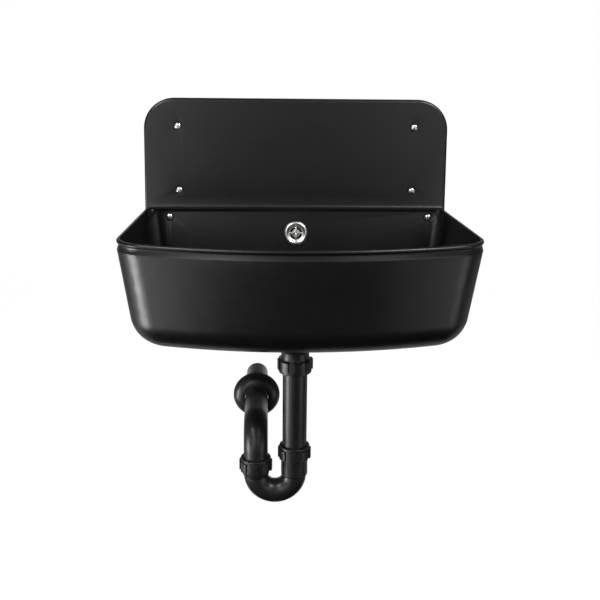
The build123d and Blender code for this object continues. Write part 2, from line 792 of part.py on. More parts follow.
# U-bend: a bent pipe with a threaded socket on each leg
with BuildPart() as u_bend:
    for mouth in (inlet_head.offset(-mouth_depth), outlet_head.offset(-mouth_depth)):
        with BuildSketch(mouth):
            Circle(socket_radius)
        extrude(amount=bend_z - mouth.origin.Z)
        with BuildSketch(mouth):
            Circle(trap_thread_radius)
        extrude(amount=-thread_height)
    with BuildSketch(Plane.XY.offset(bend_z)):
        with Locations((waste_x, waste_y), (leg_x, waste_y)):
            Circle(socket_radius)
    extrude(amount=-socket_shoulder, taper=shoulder_taper)
    with BuildLine(Plane.XZ.offset(-waste_y)) as bend_path:
        RadiusArc((waste_x, bend_z), (leg_x, bend_z), bend_radius)
    with BuildSketch(Plane(origin=(waste_x, waste_y, bend_z), x_dir=(1, 0, 0), z_dir=(0, 0, -1))):
        Circle(pipe_radius)
    sweep(path=bend_path.wire())
    with BuildSketch(Plane(origin=(waste_x, waste_y, bend_z), x_dir=(1, 0, 0), z_dir=(0, 0, -1))):
        Circle(tail_bore)
    sweep(path=bend_path.wire(), mode=Mode.SUBTRACT)
    for mouth in (inlet_head.offset(-mouth_depth), outlet_head.offset(-mouth_depth)):
        with BuildSketch(mouth):
            Circle(socket_bore)
        extrude(amount=bend_z - mouth.origin.Z, mode=Mode.SUBTRACT)
        with BuildSketch(mouth):
            Circle(socket_bore + mouth_chamfer)
        extrude(amount=-mouth_chamfer, taper=45, mode=Mode.SUBTRACT)
finish(u_bend, "u_bend")

# Outlet bend: spigot in the outlet socket, elbow, and the pipe into the wall
with BuildPart() as outlet_bend:
    spigot_end_z = outlet_mouth_z - outlet_insertion
    elbow_start_z = outlet_z - outlet_bend_radius
    with BuildLine(Plane.YZ.offset(leg_x)) as outlet_path:
        rise = Line((waste_y, spigot_end_z), (waste_y, elbow_start_z))
        elbow = RadiusArc(rise @ 1, (waste_y + outlet_bend_radius, outlet_z), outlet_bend_radius)
        Line(elbow @ 1, (outlet_reach, outlet_z))
    with BuildSketch(Plane(origin=(leg_x, waste_y, spigot_end_z), x_dir=(1, 0, 0), z_dir=(0, 0, 1))):
        Circle(pipe_radius)
        Circle(tail_bore, mode=Mode.SUBTRACT)
    sweep(path=outlet_path.wire())
    chamfer(outlet_bend.edges().group_by(Axis.Y)[-1].sort_by(SortBy.RADIUS)[-1], spigot_chamfer)
    with BuildSketch(Plane.XZ.offset(spigot_insertion - outlet_reach)) as insertion_mark:
        with Locations((leg_x, outlet_z)):
            Circle(pipe_radius + joint_gap)
            Circle(pipe_radius - spigot_mark_depth, mode=Mode.SUBTRACT)
    extrude(amount=spigot_mark_width, mode=Mode.SUBTRACT)
finish(outlet_bend, "outlet_bend")

# Wall rosette: domed sheet that slides on the outlet pipe and covers the hole in the wall
with BuildPart() as wall_rosette:
    rosette_origin = (leg_x, 0, outlet_z)
    with BuildSketch(beside(rosette_origin, (0, -1, 0))) as dome_section:
        with BuildLine():
            rim = Line((wall_rosette_radius, 0), (wall_rosette_radius, wall_rosette_edge))
            mid_r = (wall_rosette_radius + wall_rosette_collar) / 2
            dome_mid = (mid_r + wall_rosette_bulge, wall_rosette_depth * dome_share)
            dome = ThreePointArc(rim @ 1, dome_mid, (wall_rosette_collar, wall_rosette_depth))
            crown = Line(dome @ 1, (socket_bore, wall_rosette_depth))
            bore = Line(crown @ 1, (socket_bore, wall_rosette_depth - wall_rosette_lip))
            ledge = Line(bore @ 1, (wall_rosette_collar, wall_rosette_depth - wall_rosette_lip))
            inside_mid = (dome_mid[0] - wall_rosette_sheet, dome_mid[1] - wall_rosette_lip)
            inside = ThreePointArc(ledge @ 1, inside_mid, (wall_rosette_radius - wall_rosette_sheet, 0))
            Line(inside @ 1, rim @ 0)
        make_face()
    revolve(axis=Axis(rosette_origin, (0, -1, 0)))
finish(wall_rosette, "wall_rosette")
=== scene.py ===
import json
import math

import bmesh
import bpy
from mathutils import Matrix, Vector

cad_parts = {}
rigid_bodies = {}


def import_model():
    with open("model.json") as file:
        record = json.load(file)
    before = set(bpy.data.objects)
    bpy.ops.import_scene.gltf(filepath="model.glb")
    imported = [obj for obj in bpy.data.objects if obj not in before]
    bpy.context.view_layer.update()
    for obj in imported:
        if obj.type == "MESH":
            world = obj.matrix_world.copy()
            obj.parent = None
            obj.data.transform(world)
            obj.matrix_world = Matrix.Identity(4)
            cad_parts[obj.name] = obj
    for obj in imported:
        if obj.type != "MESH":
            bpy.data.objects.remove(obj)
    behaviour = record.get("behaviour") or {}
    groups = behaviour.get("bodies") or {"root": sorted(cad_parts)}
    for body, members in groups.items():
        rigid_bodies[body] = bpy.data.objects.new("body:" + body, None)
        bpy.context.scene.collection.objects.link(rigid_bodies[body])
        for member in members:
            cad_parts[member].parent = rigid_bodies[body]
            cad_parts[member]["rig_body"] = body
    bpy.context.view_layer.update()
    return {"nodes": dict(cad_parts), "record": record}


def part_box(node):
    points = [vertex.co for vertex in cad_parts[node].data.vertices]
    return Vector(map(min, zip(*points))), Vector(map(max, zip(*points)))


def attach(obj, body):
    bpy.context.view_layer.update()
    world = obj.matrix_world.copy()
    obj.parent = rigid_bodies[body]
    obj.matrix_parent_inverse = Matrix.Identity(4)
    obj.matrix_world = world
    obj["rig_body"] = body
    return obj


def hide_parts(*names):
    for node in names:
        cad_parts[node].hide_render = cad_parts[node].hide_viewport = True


bl_info = {
    "name": "Wall-hung hand basin",
    "version": (1, 0, 0),
    "blender": (4, 5, 0),
    "location": "View3D > Sidebar > Hand basin",
    "description": "Dresses the frame of a moulded hand basin with its fittings, trap, materials and studio",
    "category": "Object",
}

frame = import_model()
SLOTS = {part["node"]: part["material_slot"] for part in frame["record"]["subparts"]}
MM = 0.001


# Node maths


class Term:
    """A node socket that can be used in sums, so that node maths reads as plain maths."""

    def __init__(self, tree, socket):
        self.tree = tree
        self.socket = socket

    def maths(self, operation, *values):
        return self.node("ShaderNodeMath", {"operation": operation}, *values)

    def node(self, kind, settings, *values, output=0):
        """Add a node; settings come first, then the values or links of its sockets."""
        return node_in(self.tree, kind, settings, *values, output=output)

    def __add__(self, other):
        return self.maths("ADD", self, other)

    __radd__ = __add__

    def __mul__(self, other):
        return self.maths("MULTIPLY", self, other)

    __rmul__ = __mul__

    def __sub__(self, other):
        return self.maths("SUBTRACT", self, other)

    def __rsub__(self, other):
        return self.maths("SUBTRACT", other, self)

    def __truediv__(self, other):
        return self.maths("DIVIDE", self, other)

    def __pow__(self, other):
        return self.maths("POWER", self, other)

    def clamp(self, low=0.0, high=1.0):
        return self.maths("MINIMUM", self.maths("MAXIMUM", self, low), high)


def node_in(tree, kind, settings, *values, output=0):
    """Add a node to a tree, with its settings first and then its sockets by place or by name."""
    made = tree.nodes.new(kind)
    for key, value in settings.items():
        if key == "stops":
            ramp = made.color_ramp
            while len(ramp.elements) < len(value):
                ramp.elements.new(0.5)
            for element, (place, colour) in zip(ramp.elements, value):
                element.position = place
                element.color = colour
        else:
            setattr(made, key, value)
    for place, value in enumerate(values):
        pairs = value.items() if isinstance(value, dict) else [(place, value)]
        for name, item in pairs:
            for single in item if isinstance(item, list) else [item]:
                if isinstance(single, Term):
                    tree.links.new(single.socket, made.inputs[name])
                elif single is not None:
                    made.inputs[name].default_value = single
    return Term(tree, made.outputs[output])


FINISHES = {}


class Finish:
    """A new material with its shader, its object coordinates and a way to feed them."""

    def __init__(self, name, colour, roughness, metallic=0.0, **constants):
        self.material = bpy.data.materials.new(name)
        self.material.use_nodes = True
        FINISHES[name] = self.material
        self.tree = self.material.node_tree
        self.shader = self.tree.nodes["Principled BSDF"]
        self.shader.inputs["Base Color"].default_value = (*colour[:3], 1)
        self.shader.inputs["Roughness"].default_value = roughness
        self.shader.inputs["Metallic"].default_value = metallic
        for socket, value in constants.items():
            self.shader.inputs[socket.replace("_", " ")].default_value = value
        coords = self.tree.nodes.new("ShaderNodeTexCoord")
        self.place = Term(self.tree, coords.outputs["Object"])

    def noise(self, scale, detail=3.0, roughness=0.5, stretch=(1, 1, 1), where=None):
        where = self.place.node("ShaderNodeMapping", {}, {"Vector": where or self.place, "Scale": stretch})
        sockets = {"Vector": where, "Scale": scale, "Detail": detail, "Roughness": roughness}
        return self.place.node("ShaderNodeTexNoise", {}, sockets)

    def speckle(self, scale):
        """Small round spots, from 0 at a spot's middle to 1 far from it."""
        sockets = {"Vector": self.place, "Scale": scale}
        return self.place.node("ShaderNodeTexVoronoi", {}, sockets).clamp()

    def polar(self, centre, axis):
        """Coordinates round an axis: radius, a slow turn and height, for finishes made by spinning."""
        turn = Vector(axis).rotation_difference(Vector((0, 0, 1))).to_euler()
        moved = self.place.node("ShaderNodeVectorMath", {"operation": "SUBTRACT"}, self.place, centre)
        laid = self.place.node("ShaderNodeVectorRotate", {"rotation_type": "EULER_XYZ"},
                               {"Vector": moved, "Rotation": turn})
        x = self.place.node("ShaderNodeSeparateXYZ", {}, laid)
        y, z = (Term(self.tree, x.socket.node.outputs[name]) for name in ("Y", "Z"))
        radius = (x * x + y * y) ** 0.5
        angle = x.maths("ARCTAN2", y, x)
        return x.node("ShaderNodeCombineXYZ", {}, radius, angle * 0.002, z)

    def feed(self, socket, term):
        self.tree.links.new(term.socket, self.shader.inputs[socket])

    def bump(self, height, distance, strength=1.0, under=None):
        sockets = {"Strength": strength, "Distance": distance, "Height": height, "Normal": under}
        return self.place.node("ShaderNodeBump", {}, sockets)

    def tint(self, amount, dark, light):
        """Colour between two shades by a term from 0 to 1."""
        stops = [(0.0, (*dark, 1)), (1.0, (*light, 1))]
        return self.place.node("ShaderNodeValToRGB", {"stops": stops}, amount)


def shade(colour, factor):
    return tuple(min(1.0, c * factor) for c in colour[:3])


def moulded_plastic(name, colour, roughness, gloss, grain, flow):
    """Moulded plastic: tool grain and slow sink waves of these depths, uneven gloss and a little dust."""
    finish = Finish(name, colour, roughness, Specular_IOR_Level=gloss, IOR=1.49)
    cloud = finish.noise(7.0, 4.0, 0.55)
    haze = finish.noise(60.0, 3.0, 0.6)
    rubbed = finish.noise(24.0, 5.0, 0.62, (1.0, 1.0, 3.5))
    finish.feed("Roughness", (cloud - 0.5) * 0.10 + (haze - 0.5) * 0.06 + (rubbed - 0.5) * 0.06 + roughness)
    dust = (1.0 - finish.speckle(420.0) * 5.0).clamp() * (haze - 0.35).clamp()
    shades = finish.tint(cloud * 0.8 + dust, shade(colour, 0.75), shade(colour, 1.3))
    finish.feed("Base Color", shades)
    waves = finish.bump(finish.noise(6.0, 1.5, 0.4), flow)
    fine = finish.bump(finish.noise(1500.0, 2.0, 0.6), grain, 0.6, waves)
    finish.feed("Normal", fine)
    return finish.material


def brushed_steel(name, colour, roughness, centre=None, axis=(0, 0, 1)):
    """Stainless steel, with straight brush marks or, round a centre, the rings of a spun sheet."""
    finish = Finish(name, colour, roughness, 1.0)
    if centre is None:
        brush = finish.noise(260.0, 4.0, 0.65, (1.0, 1.0, 9.0))
    else:
        brush = finish.noise(1800.0, 4.0, 0.65, where=finish.polar(centre, axis))
    haze = finish.noise(45.0, 3.0, 0.5)
    finish.feed("Roughness", (brush - 0.5) * 0.14 + (haze - 0.5) * 0.10 + roughness)
    finish.feed("Base Color", finish.tint(brush * 0.7 + haze * 0.3, shade(colour, 0.82), shade(colour, 1.1)))
    finish.feed("Normal", finish.bump(brush, 0.00003, 0.5))
    return finish.material


def soft_rubber(name, colour, roughness):
    """Matt rubber with a dusty bloom."""
    finish = Finish(name, colour, roughness)
    bloom = finish.noise(90.0, 4.0, 0.6)
    finish.feed("Base Color", finish.tint(bloom, shade(colour, 0.7), shade(colour, 1.8)))
    finish.feed("Roughness", (bloom - 0.5) * 0.2 + roughness)
    finish.feed("Normal", finish.bump(finish.noise(900.0, 2.0), 0.00004, 0.6))
    return finish.material


# Rules: Geometry Nodes trees for what repeats or follows a path


class Rule:
    """A Geometry Nodes tree with named inputs that ends in one mesh with its material."""

    KINDS = {
        int: "NodeSocketInt", float: "NodeSocketFloat", tuple: "NodeSocketVector", str: "NodeSocketObject",
    }

    def __init__(self, name, **inputs):
        self.tree = bpy.data.node_groups.new(name, "GeometryNodeTree")
        self.keys = {}
        for key, value in inputs.items():
            socket = self.tree.interface.new_socket(
                key.replace("_", " ").capitalize(), in_out="INPUT", socket_type=self.KINDS[type(value)])
            if not isinstance(value, str):
                socket.default_value = value
            self.keys[key] = socket.identifier
        finish = self.tree.interface.new_socket("Material", in_out="INPUT", socket_type="NodeSocketMaterial")
        self.keys["material"] = finish.identifier
        self.tree.interface.new_socket("Mesh", in_out="OUTPUT", socket_type="NodeSocketGeometry")
        self.entry = self.tree.nodes.new("NodeGroupInput")

    def take(self, key):
        """The input with this name, as a term."""
        socket = next(s for s in self.entry.outputs if s.identifier == self.keys[key])
        return Term(self.tree, socket)

    def node(self, kind, settings, *values, output=0):
        return node_in(self.tree, kind, settings, *values, output=output)

    def shape(self, key):
        """The mesh of the object given to an input."""
        return self.node("GeometryNodeObjectInfo", {}, self.take(key), output=4)

    def join(self, *parts):
        return self.node("GeometryNodeJoinGeometry", {}, {"Geometry": list(parts)})

    def end(self, mesh):
        """Close the tree: realize every copy and set the material."""
        real = self.node("GeometryNodeRealizeInstances", {}, mesh)
        dressed_mesh = self.node("GeometryNodeSetMaterial", {},
                                 {"Geometry": real, "Material": self.take("material")})
        leave = self.tree.nodes.new("NodeGroupOutput")
        self.tree.links.new(dressed_mesh.socket, leave.inputs[0])
        return self

    def grow(self, name, finish, **values):
        """Run the rule with these inputs and keep what it makes as a plain mesh."""
        carrier = bpy.data.objects.new(name, bpy.data.meshes.new(name))
        bpy.context.scene.collection.objects.link(carrier)
        modifier = carrier.modifiers.new(self.tree.name, "NODES")
        modifier.node_group = self.tree
        for key, value in {**values, "material": finish}.items():
            modifier[self.keys[key]] = value
        depsgraph = bpy.context.evaluated_depsgraph_get()
        mesh = bpy.data.meshes.new_from_object(carrier.evaluated_get(depsgraph))
        bpy.data.objects.remove(carrier)
        if not mesh.polygons:
            raise RuntimeError(f"{name}: the rule {self.tree.name} made no faces")
        return piece_of(mesh, name, finish)


def grid_rule():
    """Copies of one fixing in columns and rows on the wall."""
    rule = Rule("fixing_pattern", fixing="", columns=2, rows=2, first=(0.0, 0.0, 0.0), column_step=0.1,
                row_step=0.1)
    across = rule.node("ShaderNodeCombineXYZ", {}, rule.take("column_step"), 0.0, 0.0)
    upward = rule.node("ShaderNodeCombineXYZ", {}, 0.0, 0.0, rule.take("row_step"))
    columns = rule.node("GeometryNodeMeshLine", {}, {
        "Count": rule.take("columns"), "Start Location": rule.take("first"), "Offset": across})
    rows = rule.node("GeometryNodeMeshLine", {}, {"Count": rule.take("rows"), "Offset": upward})
    out_of_wall = (math.pi / 2, 0, 0)
    column = rule.node("GeometryNodeInstanceOnPoints", {},
                       {"Points": columns, "Instance": rule.shape("fixing"), "Rotation": out_of_wall})
    return rule.end(rule.node("GeometryNodeInstanceOnPoints", {}, {"Points": rows, "Instance": column}))


def thread_rule():
    """A thread that winds down a shank from its top, as one ridge with four sides."""
    rule = Rule("screw_thread", length=0.03, pitch=0.002, radius=0.002, ridge=0.0005)
    turns = rule.take("length") / rule.take("pitch")
    helix = rule.node("GeometryNodeCurveSpiral", {}, {
        "Resolution": 28, "Rotations": turns, "Start Radius": rule.take("radius"),
        "End Radius": rule.take("radius"), "Height": rule.take("length")})
    upright = rule.node("GeometryNodeSetCurveNormal", {"mode": "Z_UP"}, {"Curve": helix})
    ridge = rule.node("GeometryNodeCurvePrimitiveCircle", {}, {"Resolution": 4, "Radius": rule.take("ridge")})
    wound = rule.node("GeometryNodeCurveToMesh", {},
                      {"Curve": upright, "Profile Curve": ridge, "Fill Caps": True})
    down = rule.node("ShaderNodeCombineXYZ", {}, 0.0, 0.0, rule.take("length") * -1.0)
    return rule.end(rule.node("GeometryNodeTransform", {}, {"Geometry": wound, "Translation": down}))


def nut_rule():
    """A slip nut: its shell, with lugs copied round it, set on the axis of its joint."""
    rule = Rule("lugged_nut", shell="", lug="", lugs=8, first_turn=0.0, origin=(0.0, 0.0, 0.0), tilt=0.0)
    points = rule.node("GeometryNodeMeshLine", {},
                       {"Count": rule.take("lugs"), "Offset": (0.0, 0.0, 0.0)})
    index = rule.node("GeometryNodeInputIndex", {})
    angle = index * (2 * math.pi) / rule.take("lugs") + rule.take("first_turn")
    spin = rule.node("ShaderNodeCombineXYZ", {}, 0.0, 0.0, angle)
    ring = rule.node("GeometryNodeInstanceOnPoints", {},
                     {"Points": points, "Instance": rule.shape("lug"), "Rotation": spin})
    whole = rule.join(ring, rule.shape("shell"))
    tilt = rule.node("ShaderNodeCombineXYZ", {}, rule.take("tilt"), 0.0, 0.0)
    sockets = {"Geometry": whole, "Translation": rule.take("origin"), "Rotation": tilt}
    return rule.end(rule.node("GeometryNodeTransform", {}, sockets))


def hose_rule():
    """A ribbed hose along a route with one bend: an outer skin that swells at each rib, and its bore."""
    rule = Rule("ribbed_hose", route="", bend=0.03, cuff=0.02, pitch=0.007, root=0.008, crest=0.0095,
                bore=0.007)
    route = rule.node("GeometryNodeFilletCurve", {"mode": "POLY"},
                      {"Curve": rule.shape("route"), "Count": 24, "Radius": rule.take("bend")})
    line = rule.node("GeometryNodeResampleCurve", {"mode": "LENGTH"}, {"Curve": route, "Length": 0.0004})
    along_hose = rule.node("GeometryNodeSplineParameter", {}, output=1)
    whole = rule.node("GeometryNodeSplineLength", {})
    ribbed = whole - rule.take("cuff") * 2.0
    count = (ribbed / rule.take("pitch")).maths("FLOOR", ribbed / rule.take("pitch"))
    inside = along_hose - rule.take("cuff")
    phase = inside * count / ribbed * (2 * math.pi)
    wave = 0.5 - phase.maths("COSINE", phase) * 0.5
    on_ribs = inside.maths("GREATER_THAN", inside, 0.0) * inside.maths("LESS_THAN", inside, ribbed)
    swell = (wave ** 0.6) * on_ribs
    radius = rule.take("root") + swell * (rule.take("crest") - rule.take("root"))
    circle = rule.node("GeometryNodeCurvePrimitiveCircle", {}, {"Resolution": 40, "Radius": 1.0})
    skin = rule.node("GeometryNodeCurveToMesh", {}, {"Curve": line, "Profile Curve": circle, "Scale": radius})
    hole = rule.node("GeometryNodeCurveToMesh", {},
                     {"Curve": line, "Profile Curve": circle, "Scale": rule.take("bore")})
    return rule.end(rule.join(skin, rule.node("GeometryNodeFlipFaces", {}, hole)))


# Meshes


def rounded(corners, steps=5):
    """Closed outline of (x, y, radius) corners with each corner turned into an arc."""
    line = []
    count = len(corners)
    for i, (x, y, radius) in enumerate(corners):
        here = Vector((x, y))
        if radius <= 0:
            line.append(here)
            continue
        before = Vector(corners[i - 1][:2]) - here
        after = Vector(corners[(i + 1) % count][:2]) - here
        half = before.angle(after) / 2
        reach = radius / math.tan(half)
        bisector = (before.normalized() + after.normalized()).normalized()
        centre = here + bisector * (radius / math.sin(half))
        start = here + before.normalized() * reach - centre
        end = here + after.normalized() * reach - centre
        turn = start.angle_signed(end)
        for step in range(steps + 1):
            part = start.copy()
            part.rotate(Matrix.Rotation(-turn * step / steps, 2))
            line.append(centre + part)
    return line


def turned(bm, outline, steps):
    """Add a turned ring or plug: an outline of (radius, height) round the Z axis."""
    rings = []
    for step in range(steps):
        angle = 2 * math.pi * step / steps
        rings.append([bm.verts.new((r * math.cos(angle), r * math.sin(angle), h)) for r, h in outline])
    count = len(outline)
    for step in range(steps):
        one, two = rings[step], rings[(step + 1) % steps]
        for i in range(count):
            j = (i + 1) % count
            bm.faces.new((one[i], two[i], two[j], one[j]))


def tidy_mesh(mesh):
    """Merge doubles, drop faces without area and turn every face outward."""
    bm = bmesh.new()
    bm.from_mesh(mesh)
    bmesh.ops.remove_doubles(bm, verts=bm.verts, dist=1e-6)
    bmesh.ops.dissolve_degenerate(bm, edges=bm.edges, dist=1e-7)
    bmesh.ops.recalc_face_normals(bm, faces=bm.faces)
    bm.to_mesh(mesh)
    bm.free()


def settle(obj, crease):
    """Clean a finished mesh: one skin, faces outward, smooth up to its creases (in degrees)."""
    tidy_mesh(obj.data)
    obj.data.shade_smooth()
    obj.data.set_sharp_from_angle(angle=math.radians(crease))
    weighted = obj.modifiers.new("flats", "WEIGHTED_NORMAL")
    weighted.keep_sharp = True
    weighted.mode = "FACE_AREA"
    return obj


def piece_from(bm, name, material):
    mesh = bpy.data.meshes.new(name)
    bm.to_mesh(mesh)
    bm.free()
    return piece_of(mesh, name, material)


def piece_of(mesh, name, material):
    obj = bpy.data.objects.new(name, mesh)
    bpy.context.scene.collection.objects.link(obj)
    mesh.materials.clear()
    mesh.materials.append(material)
    return obj


def pattern_from(bm, name):
    """Loose object that a rule copies; it is thrown away afterwards."""
    mesh = bpy.data.meshes.new(name)
    bm.to_mesh(mesh)
    bm.free()
    tidy_mesh(mesh)
    obj = bpy.data.objects.new(name, mesh)
    bpy.context.scene.collection.objects.link(obj)
    return obj


def throw_away(*objects):
    for obj in objects:
        bpy.data.objects.remove(obj)


def stand_in_for(obj, slot, *nodes):
    """Let a finished piece stand for solids of the frame, on their body."""
    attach(obj, frame["nodes"][nodes[0]]["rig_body"])
    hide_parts(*nodes)
    return obj


def dressed(node, finish, crease=32.0):
    """Merged copy of a solid of the frame in its own finish, shaded smooth up to its creases."""
    obj = piece_of(frame["nodes"][node].data.copy(), f"{node}_skin", material(finish))
    settle(obj, crease)
    return stand_in_for(obj, SLOTS[node], node)


def material(name):
    return FINISHES[name]


def half_width(node):
    low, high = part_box(node)
    return (high[0] - low[0]) / 2


# Settings


class BasinFinishSettings(bpy.types.PropertyGroup):
    basin_colour: bpy.props.FloatVectorProperty(
        name="Basin colour", description="Colour of the moulded basin", subtype="COLOR",
        size=3, min=0, max=1, default=(0.004, 0.004, 0.0043),
    )
    trap_colour: bpy.props.FloatVectorProperty(
        name="Trap colour", description="Colour of the pipes and nuts of the trap", subtype="COLOR",
        size=3, min=0, max=1, default=(0.01, 0.01, 0.0108),
    )
    steel_colour: bpy.props.FloatVectorProperty(
        name="Steel colour", description="Colour of screws, overflow rosette and strainer", subtype="COLOR",
        size=3, min=0, max=1, default=(0.78, 0.77, 0.75),
    )
    rubber_colour: bpy.props.FloatVectorProperty(
        name="Rubber colour", description="Colour of the seals", subtype="COLOR",
        size=3, min=0, max=1, default=(0.02, 0.02, 0.02),
    )
    basin_roughness: bpy.props.FloatProperty(
        name="Basin roughness", description="How matt the moulded basin is", min=0, max=1, default=0.34,
    )
    trap_roughness: bpy.props.FloatProperty(
        name="Trap roughness", description="How matt the trap is", min=0, max=1, default=0.36,
    )
    basin_gloss: bpy.props.FloatProperty(
        name="Basin gloss", description="Strength of the basin's reflections", min=0, max=1, default=0.5,
    )
    trap_gloss: bpy.props.FloatProperty(
        name="Trap gloss", description="Strength of the trap's reflections", min=0, max=1, default=0.5,
    )


class BasinFittingSettings(bpy.types.PropertyGroup):
    head_height: bpy.props.FloatProperty(
        name="Screw head height", description="Height of a wall screw's dome", unit="LENGTH",
        min=0.002, max=0.005, default=0.0032,
    )
    neck_radius: bpy.props.FloatProperty(
        name="Screw neck radius", description="Radius of the plain part of a wall screw", unit="LENGTH",
        min=0.002, max=0.004, default=0.0029,
    )
    thread_radius: bpy.props.FloatProperty(
        name="Thread radius", description="Outer radius of a wall screw's thread", unit="LENGTH",
        min=0.0015, max=0.004, default=0.0024,
    )
    thread_pitch: bpy.props.FloatProperty(
        name="Thread pitch", description="Rise of the wall screws' thread in one turn", unit="LENGTH",
        min=0.0008, max=0.004, default=0.0022,
    )
    screw_recess: bpy.props.FloatProperty(
        name="Screw recess", description="Width across the cross recess of a screw head", unit="LENGTH",
        min=0.001, max=0.006, default=0.0052,
    )
    washer_thickness: bpy.props.FloatProperty(
        name="Washer thickness", description="Thickness of the sealing washers under the screws",
        unit="LENGTH", min=0.0005, max=0.003, default=0.0012,
    )
    nut_wall: bpy.props.FloatProperty(
        name="Nut wall", description="Wall of the slip nuts", unit="LENGTH", min=0.001, max=0.003,
        default=0.0016,
    )
    nut_gap: bpy.props.FloatProperty(
        name="Nut gap", description="Gap between a slip nut and its thread", unit="LENGTH", min=0.0001,
        max=0.001, default=0.0003,
    )
    nut_land: bpy.props.FloatProperty(
        name="Nut land", description="Thickness of a slip nut's closed end", unit="LENGTH", min=0.001,
        max=0.006, default=0.0032,
    )
    nut_ring: bpy.props.FloatProperty(
        name="Nut ring", description="Height of the plain ring above a slip nut's lugs", unit="LENGTH",
        min=0.001, max=0.01, default=0.005,
    )
    lugs: bpy.props.IntProperty(
        name="Lugs", description="Number of lugs round a slip nut", min=4, max=16, default=8,
    )
    lug_width: bpy.props.FloatProperty(
        name="Lug width", description="Width of one lug", unit="LENGTH", min=0.002, max=0.02, default=0.013,
    )
    lug_height: bpy.props.FloatProperty(
        name="Lug height", description="How far a lug stands out", unit="LENGTH", min=0.001, max=0.005,
        default=0.0024,
    )
    lug_turn: bpy.props.FloatProperty(
        name="Lug turn", description="Turn of the first lug from the basin's right", subtype="ANGLE",
        min=-math.pi, max=math.pi, default=math.radians(-7),
    )
    hose_cuff: bpy.props.FloatProperty(
        name="Hose cuff", description="Plain length at each end of the overflow hose", unit="LENGTH",
        min=0.01, max=0.03, default=0.019,
    )
    hose_pitch: bpy.props.FloatProperty(
        name="Hose rib pitch", description="Distance between the ribs of the overflow hose", unit="LENGTH",
        min=0.003, max=0.012, default=0.007,
    )
    hose_root: bpy.props.FloatProperty(
        name="Hose root", description="Outer radius of the hose between its ribs", unit="LENGTH",
        min=0.004, max=0.02, default=0.0082,
    )
    hose_bore: bpy.props.FloatProperty(
        name="Hose bore", description="Inner radius of the hose", unit="LENGTH", min=0.003, max=0.015,
        default=0.0068,
    )
    hose_bend: bpy.props.FloatProperty(
        name="Hose bend", description="Radius of the hose's bend", unit="LENGTH", min=0.02, max=0.06,
        default=0.032,
    )


class BasinStageSettings(bpy.types.PropertyGroup):
    floor_drop: bpy.props.FloatProperty(
        name="Floor drop", description="Depth of the floor below the wall screws' centre", unit="LENGTH",
        min=0.6, max=3.0, default=1.4,
    )
    floor_front: bpy.props.FloatProperty(
        name="Floor front", description="Front edge of the floor, from the face of the wall", unit="LENGTH",
        min=-4.0, max=1.0, default=0.3,
    )
    backdrop_level: bpy.props.FloatProperty(
        name="Backdrop level", description="Brightness of the backdrop as the camera sees it, 1 is white",
        min=0, max=2, default=1.09,
    )
    backdrop_share: bpy.props.FloatProperty(
        name="Backdrop share", description="How much of the backdrop's look is its own level", min=0, max=1,
        default=0.9,
    )
    room_level: bpy.props.FloatProperty(
        name="Room level", description="Brightness of the room in front of the basin", min=0, max=1,
        default=0.1,
    )
    lens: bpy.props.FloatProperty(
        name="Lens", description="Focal length of the camera", unit="CAMERA", min=10, max=200, default=51.6,
    )


# Pieces


class HANDBASIN_OT_finishes(bpy.types.Operator):
    """Make the finishes of the basin, its fittings and its trap"""

    bl_idname = "handbasin.finishes"
    bl_label = "Finishes"

    def execute(self, context):
        look = context.scene.basin_finish
        moulded_plastic("basin_plastic", look.basin_colour, look.basin_roughness, look.basin_gloss,
                        grain=0.00005, flow=0.0006)
        moulded_plastic("trap_plastic", look.trap_colour, look.trap_roughness, look.trap_gloss,
                        grain=0.00004, flow=0.00015)
        brushed_steel("stainless", look.steel_colour, 0.32)
        low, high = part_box("overflow_rosette")
        out_of_back_wall = (0, -1, 0.13)
        brushed_steel("spun_rosette", look.steel_colour, 0.34, (low + high) / 2, out_of_back_wall)
        low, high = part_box("waste_strainer")
        brushed_steel("spun_strainer", look.steel_colour, 0.34, (low + high) / 2)
        soft_rubber("rubber", look.rubber_colour, 0.7)
        for node, slot in SLOTS.items():
            for place in frame["nodes"][node].material_slots:
                place.material = material(slot)
        return {"FINISHED"}


class HANDBASIN_OT_moulding(bpy.types.Operator):
    """Dress the one-piece moulding of bowl, rim and splashback"""

    bl_idname = "handbasin.moulding"
    bl_label = "Basin moulding"

    def execute(self, context):
        dressed("basin", "basin_plastic", crease=24.0)
        return {"FINISHED"}


